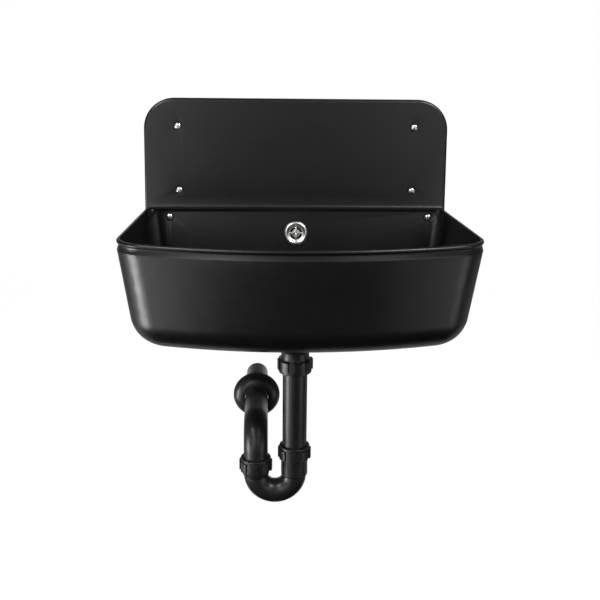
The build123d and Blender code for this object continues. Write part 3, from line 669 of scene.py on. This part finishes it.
class HANDBASIN_OT_wall_fixings(bpy.types.Operator):
    """Make the wall screws with their threads and sealing washers, in columns and rows"""

    bl_idname = "handbasin.wall_fixings"
    bl_label = "Wall fixings"

    def recess(self, size):
        """Cross-shaped cutter for a screw head: two crossed blades that taper downward."""
        above, depth, blade = 0.5 * MM, 2.1 * MM, 0.55 * MM
        bm = bmesh.new()
        for turn in (0, math.pi / 2):
            spin = Matrix.Rotation(turn, 4, "Z")
            corners = []
            for high, share in ((size.head_height + above, 1.0), (size.head_height - depth, 0.42)):
                x, y = size.screw_recess / 2 * share, blade * (0.4 + 0.6 * share)
                corners.append([bm.verts.new(spin @ Vector((sx * x, sy * y, high)))
                                for sx, sy in ((-1, -1), (1, -1), (1, 1), (-1, 1))])
            top, foot = corners
            bm.faces.new(top)
            bm.faces.new(foot[::-1])
            for i in range(4):
                j = (i + 1) % 4
                bm.faces.new((top[i], foot[i], foot[j], top[j]))
        return pattern_from(bm, "cross_recess")

    def screw(self, size, seat, reach, head_radius):
        """One screw with its axis on Z, its seat at zero and its point down."""
        ridge_height, tip, rim, step_down, chamfer = 0.6 * MM, 6 * MM, 0.6 * MM, 1 * MM, 0.1 * MM
        neck, core = size.neck_radius, size.thread_radius - ridge_height
        dome = [(head_radius * math.sin(a), rim + (size.head_height - rim) * math.cos(a))
                for a in (math.pi / 2 * i / 12 for i in range(13))]
        shank = [(head_radius, chamfer), (head_radius - chamfer, 0), (neck, 0), (neck, -seat),
                 (core, -seat - step_down), (core, -reach + tip), (0, -reach)]
        bm = bmesh.new()
        turned(bm, dome + shank, 64)
        screw = pattern_from(bm, "one_screw")
        cross = self.recess(size)
        cut = screw.modifiers.new("recess", "BOOLEAN")
        cut.object = cross
        cut.solver = "EXACT"
        cut.use_self = True
        depsgraph = bpy.context.evaluated_depsgraph_get()
        finished = bpy.data.meshes.new_from_object(screw.evaluated_get(depsgraph))
        ridge = thread_rule().grow(
            "one_thread", material("stainless"), length=reach - tip - seat - step_down,
            pitch=size.thread_pitch, radius=core, ridge=size.thread_radius - core)
        bm = bmesh.new()
        bm.from_mesh(finished)
        bmesh.ops.translate(bm, verts=list(bm.verts), vec=(0, 0, seat + step_down))
        bm.from_mesh(ridge.data)
        bmesh.ops.translate(bm, verts=list(bm.verts), vec=(0, 0, -seat - step_down))
        throw_away(screw, cross, ridge)
        return pattern_from(bm, "finished_screw")

    def washer(self, inner, outer, thickness):
        bm = bmesh.new()
        outline = rounded([(inner, 0, 0.1 * MM), (outer, 0, 0.1 * MM),
                           (outer, thickness, 0.4 * MM), (inner, thickness, 0.1 * MM)], 3)
        turned(bm, outline, 56)
        return pattern_from(bm, "one_washer")

    def execute(self, context):
        size = context.scene.basin_fittings
        pattern = grid_rule()
        washer_bore = size.neck_radius + 0.4 * MM
        mounts = {mount["name"]: mount["dims"] for mount in frame["record"]["mounts"]}
        wall_pitch = mounts["wall_fixings"]["spacing_x_mm"] * MM
        for group, columns, rows in (("wall", 2, 2), ("lower", 2, 1)):
            low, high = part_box(f"{group}_screws")
            ring_low, ring_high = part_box(f"{group}_screw_washers")
            # One row is as high as its heads; two rows are measured across, less their pitch
            side, pitch = (0, wall_pitch) if rows == 2 else (2, 0)
            head_radius = (high[side] - low[side] - pitch) / 2
            washer_radius = (ring_high[side] - ring_low[side] - pitch) / 2
            seat_y = low[1] + size.head_height
            steps = {"columns": columns, "rows": rows, "column_step": high[0] - low[0] - 2 * head_radius,
                     "row_step": high[2] - low[2] - 2 * head_radius}
            screw = self.screw(size, -seat_y, high[1] - seat_y, head_radius)
            first = (low[0] + head_radius, seat_y, low[2] + head_radius)
            screws = pattern.grow(
                f"{group}_screw_set", material("stainless"), fixing=screw, first=first, **steps)
            settle(screws, crease=40.0)
            stand_in_for(screws, "stainless", f"{group}_screws")
            washer = self.washer(washer_bore, washer_radius, size.washer_thickness)
            first = (first[0], seat_y + size.washer_thickness, first[2])
            washers = pattern.grow(
                f"{group}_washer_set", material("rubber"), fixing=washer, first=first, **steps)
            settle(washers, crease=40.0)
            stand_in_for(washers, "rubber", f"{group}_screw_washers")
            throw_away(screw, washer)
        return {"FINISHED"}


class HANDBASIN_OT_overflow(bpy.types.Operator):
    """Dress the overflow: rosette, screw, gasket and the cup behind the wall of the bowl"""

    bl_idname = "handbasin.overflow"
    bl_label = "Overflow"

    def execute(self, context):
        dressed("overflow_rosette", "spun_rosette")
        dressed("overflow_screw", "stainless")
        dressed("overflow_gasket", "rubber")
        dressed("overflow_cup", "trap_plastic")
        return {"FINISHED"}


class HANDBASIN_OT_hose(bpy.types.Operator):
    """Make the ribbed overflow hose between its two spigots, and its clips"""

    bl_idname = "handbasin.hose"
    bl_label = "Overflow hose"

    def execute(self, context):
        size = context.scene.basin_fittings
        low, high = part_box("overflow_hose")
        crest = half_width("overflow_hose")
        x, y, z = low[0] + crest, high[1] - crest, low[2] + crest
        curve = bpy.data.curves.new("hose_route", "CURVE")
        curve.dimensions = "3D"
        spline = curve.splines.new("POLY")
        spline.points.add(2)
        for point, place in zip(spline.points, ((x, y, high[2]), (x, y, z), (x, low[1], z))):
            point.co = (*place, 1)
        route = bpy.data.objects.new("hose_route", curve)
        context.scene.collection.objects.link(route)
        hose = hose_rule().grow(
            "ribbed_hose", material("trap_plastic"), route=route, bend=size.hose_bend, cuff=size.hose_cuff,
            pitch=size.hose_pitch, root=size.hose_root, crest=crest, bore=size.hose_bore)
        throw_away(route)
        bm = bmesh.new()
        bm.from_mesh(hose.data)
        for axis, end in ((2, high[2]), (1, low[1])):
            loop = [e for e in bm.edges if e.is_boundary and abs(e.verts[0].co[axis] - end) < 0.01 * MM]
            bmesh.ops.bridge_loops(bm, edges=loop)
        bm.to_mesh(hose.data)
        bm.free()
        settle(hose, crease=50.0)
        stand_in_for(hose, "trap_plastic", "overflow_hose")
        dressed("hose_clips", "stainless")
        return {"FINISHED"}


class HANDBASIN_OT_waste(bpy.types.Operator):
    """Dress the waste: strainer, screw, gaskets and the cup under the bowl"""

    bl_idname = "handbasin.waste"
    bl_label = "Waste"

    def execute(self, context):
        dressed("waste_strainer", "spun_strainer")
        dressed("strainer_screw", "stainless")
        dressed("strainer_gasket", "rubber")
        dressed("waste_gasket", "rubber")
        dressed("waste_body", "trap_plastic")
        return {"FINISHED"}


class HANDBASIN_OT_slip_joints(bpy.types.Operator):
    """Make the three lugged slip nuts, and dress their slip rings and cone washers"""

    bl_idname = "handbasin.slip_joints"
    bl_label = "Slip joints"

    def shell(self, size, height, bore, thread):
        """Turned shell of a nut, its closed end at zero and its thread below."""
        inner = thread + size.nut_gap
        outer = inner + size.nut_wall
        bm = bmesh.new()
        turned(bm, rounded([
            (bore, 0, 0.3 * MM), (outer, 0, 1.2 * MM), (outer, -height, 0.4 * MM), (inner, -height, 0.2 * MM),
            (inner, -size.nut_land, 0.1 * MM), (bore, -size.nut_land, 0.1 * MM)]), 128)
        return pattern_from(bm, "nut_shell")

    def lug(self, size, height, outer):
        """One lug: a block bent round the nut, with every outer edge eased."""
        half = size.lug_width / 2 / outer
        parts = 8
        bm = bmesh.new()
        rows = []
        for radius in (outer - size.nut_wall / 2, outer + size.lug_height):
            for level in (-size.nut_ring, -height):
                rows.append([bm.verts.new((radius * math.cos(a), radius * math.sin(a), level))
                             for a in (half * (2 * i / parts - 1) for i in range(parts + 1))])
        inner_top, inner_foot, outer_top, outer_foot = rows
        for one, two in ((outer_top, outer_foot), (inner_foot, inner_top), (inner_top, outer_top),
                         (outer_foot, inner_foot)):
            for i in range(parts):
                bm.faces.new((one[i], one[i + 1], two[i + 1], two[i]))
        for i in (0, parts):
            bm.faces.new((inner_top[i], outer_top[i], outer_foot[i], inner_foot[i]))
        bmesh.ops.recalc_face_normals(bm, faces=bm.faces)
        sharp = 0.6
        rim = [e for e in bm.edges if e.calc_face_angle(0) > sharp
               and max(v.co.xy.length for v in e.verts) > outer + size.lug_height / 2]
        bmesh.ops.bevel(bm, geom=rim, offset=0.6 * MM, segments=3, profile=0.5, affect="EDGES")
        return pattern_from(bm, "nut_lug")

    def execute(self, context):
        size = context.scene.basin_fittings
        pattern = nut_rule()
        bore = half_width("tail_pipe") + size.nut_gap
        for joint, opens_up in (("top", False), ("inlet", True), ("outlet", True)):
            low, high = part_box(f"{joint}_slip_nut")
            centre = (low + high) / 2
            height = high[2] - low[2]
            thread = half_width(f"{joint}_slip_ring")
            outer = thread + size.nut_gap + size.nut_wall
            shell = self.shell(size, height, bore, thread)
            lug = self.lug(size, height, outer)
            origin = (centre[0], centre[1], high[2] if opens_up else low[2])
            nut = pattern.grow(
                f"{joint}_lugged_nut", material("trap_plastic"), shell=shell, lug=lug, lugs=size.lugs,
                first_turn=size.lug_turn, origin=origin, tilt=0.0 if opens_up else math.pi)
            throw_away(shell, lug)
            settle(nut, crease=30.0)
            stand_in_for(nut, "trap_plastic", f"{joint}_slip_nut")
            dressed(f"{joint}_slip_ring", "trap_plastic")
            dressed(f"{joint}_cone_washer", "rubber")
        return {"FINISHED"}


class HANDBASIN_OT_trap_pipes(bpy.types.Operator):
    """Dress the tail pipe, the U-bend and the bend into the wall"""

    bl_idname = "handbasin.trap_pipes"
    bl_label = "Trap pipes"

    def execute(self, context):
        for node in ("tail_pipe", "u_bend", "outlet_bend"):
            dressed(node, "trap_plastic")
        return {"FINISHED"}


class HANDBASIN_OT_wall_rosette(bpy.types.Operator):
    """Dress the domed rosette that covers the hole in the wall"""

    bl_idname = "handbasin.wall_rosette"
    bl_label = "Wall rosette"

    def execute(self, context):
        dressed("wall_rosette", "trap_plastic")
        return {"FINISHED"}


class HANDBASIN_OT_stage(bpy.types.Operator):
    """Set up the floor, the backdrop, the soft lights and the camera"""

    bl_idname = "handbasin.stage"
    bl_label = "Studio"

    # Name, place, width and height in metres, and watts of each softbox
    LAMPS = (
        ("left_rear_softbox", (-2.1, 0.05, -0.8), (0.8, 0.9), 1.3),
        ("left_softbox", (-2.0, -0.7, -0.85), (0.7, 1.0), 30.0),
        ("left_front_softbox", (-1.4, -1.4, -1.0), (0.9, 0.9), 4.0),
        ("low_front_softbox", (-0.9, -2.2, -0.4), (0.8, 0.9), 3.3),
        ("high_front_softbox", (-0.9, -2.2, 0.5), (0.8, 0.9), 8.0),
        ("right_softbox", (1.9, -1.0, -0.85), (0.7, 0.9), 3.2),
        ("low_right_softbox", (1.4, -1.4, -0.95), (0.9, 0.9), 1.5),
        ("right_front_softbox", (0.9, -2.2, 0.1), (0.7, 0.9), 3.4),
        ("top_left_softbox", (-1.2, -1.3, 1.5), (0.9, 0.7), 30.0),
        ("top_right_softbox", (1.2, -1.3, 1.5), (0.9, 0.7), 40.0),
    )
    AIM = (0, -0.15, -0.15)

    def lamp(self, name, place, size, watts):
        """Softbox that points at the middle of the basin."""
        data = bpy.data.lights.new(name, "AREA")
        data.shape = "RECTANGLE"
        data.size, data.size_y = size
        data.energy = watts
        obj = bpy.data.objects.new(name, data)
        bpy.context.scene.collection.objects.link(obj)
        place = Vector(place)
        facing = (Vector(self.AIM) - place).to_track_quat("-Z", "Y").to_matrix().to_4x4()
        obj.matrix_world = Matrix.Translation(place) @ facing

    def seen_white(self, tree, heading_y, heading_z):
        """One for the camera, and for a mirror or glass that looks on at the backdrop; else nothing."""
        rays = tree.nodes.new("ShaderNodeLightPath")
        camera = Term(tree, rays.outputs["Is Camera Ray"])
        mirrored = Term(tree, rays.outputs["Is Glossy Ray"]) + Term(tree, rays.outputs["Is Transmission Ray"])
        # Straight back and not upward, each with a soft edge
        onward = ((heading_y - 0.8) * 8.0).clamp() * ((0.16 - heading_z) * 10.0).clamp()
        return (camera + mirrored * onward).clamp()

    def backdrop(self, stage):
        """Paper sweep: a floor that bends up into a wall behind the basin."""
        depth, rise, width, bend, steps = 6.0, 6.0, 8.0, 1.5, 16
        profile = [(stage.floor_front, 0.0), (depth - bend, 0.0)]
        profile += [
            (depth - bend + bend * math.sin(a), bend - bend * math.cos(a))
            for a in (math.pi / 2 * i / steps for i in range(1, steps + 1))
        ]
        profile.append((depth, rise))
        bm = bmesh.new()
        rows = [[bm.verts.new((x, y, z - stage.floor_drop)) for x in (-width, width)] for y, z in profile]
        for one, two in zip(rows, rows[1:]):
            bm.faces.new((one[0], one[1], two[1], two[0]))
        paper = Finish("backdrop_paper", (0.86, 0.86, 0.86), 0.9)
        fibre = paper.noise(70.0, 4.0)
        paper.feed("Base Color", paper.tint(fibre, (0.84, 0.84, 0.84), (0.88, 0.88, 0.88)))
        view = paper.tree.nodes.new("ShaderNodeNewGeometry")
        incoming = Term(paper.tree, view.outputs["Incoming"])
        back_y, back_z = (incoming.node("ShaderNodeSeparateXYZ", {}, incoming, output=i) for i in (1, 2))
        glow = paper.tree.nodes.new("ShaderNodeEmission")
        glow.inputs["Strength"].default_value = stage.backdrop_level
        mix = paper.tree.nodes.new("ShaderNodeMixShader")
        share = self.seen_white(paper.tree, 0 - back_y, 0 - back_z) * stage.backdrop_share
        paper.tree.links.new(share.socket, mix.inputs[0])
        paper.tree.links.new(paper.shader.outputs[0], mix.inputs[1])
        paper.tree.links.new(glow.outputs[0], mix.inputs[2])
        out = next(n for n in paper.tree.nodes if n.type == "OUTPUT_MATERIAL")
        paper.tree.links.new(mix.outputs[0], out.inputs["Surface"])
        sweep = piece_from(bm, "backdrop", paper.material)
        sweep.data.shade_smooth()

    def air(self, scene, stage):
        """World: white where the camera looks, a dim room with a dark floor for the rest."""
        world = bpy.data.worlds.new("studio_air")
        scene.world = world
        world.use_nodes = True
        tree = world.node_tree
        back = tree.nodes["Background"]
        back.inputs["Color"].default_value = (1, 1, 1, 1)
        coords = tree.nodes.new("ShaderNodeTexCoord")
        heading = Term(tree, coords.outputs["Generated"])
        heading_y, heading_z = (heading.node("ShaderNodeSeparateXYZ", {}, heading, output=i) for i in (1, 2))
        # The room fades out toward its floor
        room = ((heading_z + 0.3) * 5.0).clamp() * stage.room_level
        white = self.seen_white(tree, heading_y, heading_z)
        level = white * (1 - room) + room
        tree.links.new(level.socket, back.inputs["Strength"])

    def camera(self, scene, stage):
        data = bpy.data.cameras.new("camera")
        data.lens = stage.lens
        data.sensor_width = 36
        camera = bpy.data.objects.new("camera", data)
        scene.collection.objects.link(camera)
        eye = Vector((-0.048893, -1.455032, 0.156636))
        pitch, yaw, roll = 0.27092836, -0.03981761, -0.01036268
        turn = Matrix.Rotation(yaw, 3, "Z") @ Matrix.Rotation(-pitch, 3, "X")
        right, ahead, up = (turn.col[i].copy() for i in range(3))
        tilted_right = right * math.cos(roll) - up * math.sin(roll)
        tilted_up = right * math.sin(roll) + up * math.cos(roll)
        pose = Matrix((tilted_right, tilted_up, -ahead)).transposed().to_4x4()
        pose.translation = eye
        camera.matrix_world = pose
        scene.camera = camera

    def execute(self, context):
        scene = context.scene
        stage = scene.basin_stage
        self.backdrop(stage)
        self.air(scene, stage)
        for lamp in self.LAMPS:
            self.lamp(*lamp)
        self.camera(scene, stage)
        scene.view_settings.view_transform = "Standard"
        return {"FINISHED"}


class HANDBASIN_PT_panel(bpy.types.Panel):
    """Lists the basin's pieces and their settings"""

    bl_idname = "HANDBASIN_PT_panel"
    bl_label = "Hand basin"
    bl_space_type = "VIEW_3D"
    bl_region_type = "UI"
    bl_category = "Hand basin"

    def draw(self, context):
        for operator in OPERATORS:
            self.layout.operator(operator.bl_idname)
        for group in GROUPS:
            settings = getattr(context.scene, group)
            box = self.layout.box()
            for name in settings.__annotations__:
                box.prop(settings, name)


OPERATORS = (
    HANDBASIN_OT_finishes,
    HANDBASIN_OT_moulding,
    HANDBASIN_OT_wall_fixings,
    HANDBASIN_OT_overflow,
    HANDBASIN_OT_hose,
    HANDBASIN_OT_waste,
    HANDBASIN_OT_slip_joints,
    HANDBASIN_OT_trap_pipes,
    HANDBASIN_OT_wall_rosette,
    HANDBASIN_OT_stage,
)
GROUPS = {
    "basin_finish": BasinFinishSettings,
    "basin_fittings": BasinFittingSettings,
    "basin_stage": BasinStageSettings,
}


def register():
    for group, cls in GROUPS.items():
        bpy.utils.register_class(cls)
        setattr(bpy.types.Scene, group, bpy.props.PointerProperty(type=cls))
    for cls in (*OPERATORS, HANDBASIN_PT_panel):
        bpy.utils.register_class(cls)


def unregister():
    for cls in (HANDBASIN_PT_panel, *reversed(OPERATORS)):
        bpy.utils.unregister_class(cls)
    for group, cls in GROUPS.items():
        delattr(bpy.types.Scene, group)
        bpy.utils.unregister_class(cls)


def main():
    register()
    for operator in OPERATORS:
        area, name = operator.bl_idname.split(".")
        getattr(getattr(bpy.ops, area), name)()


if __name__ == "__main__":
    main()
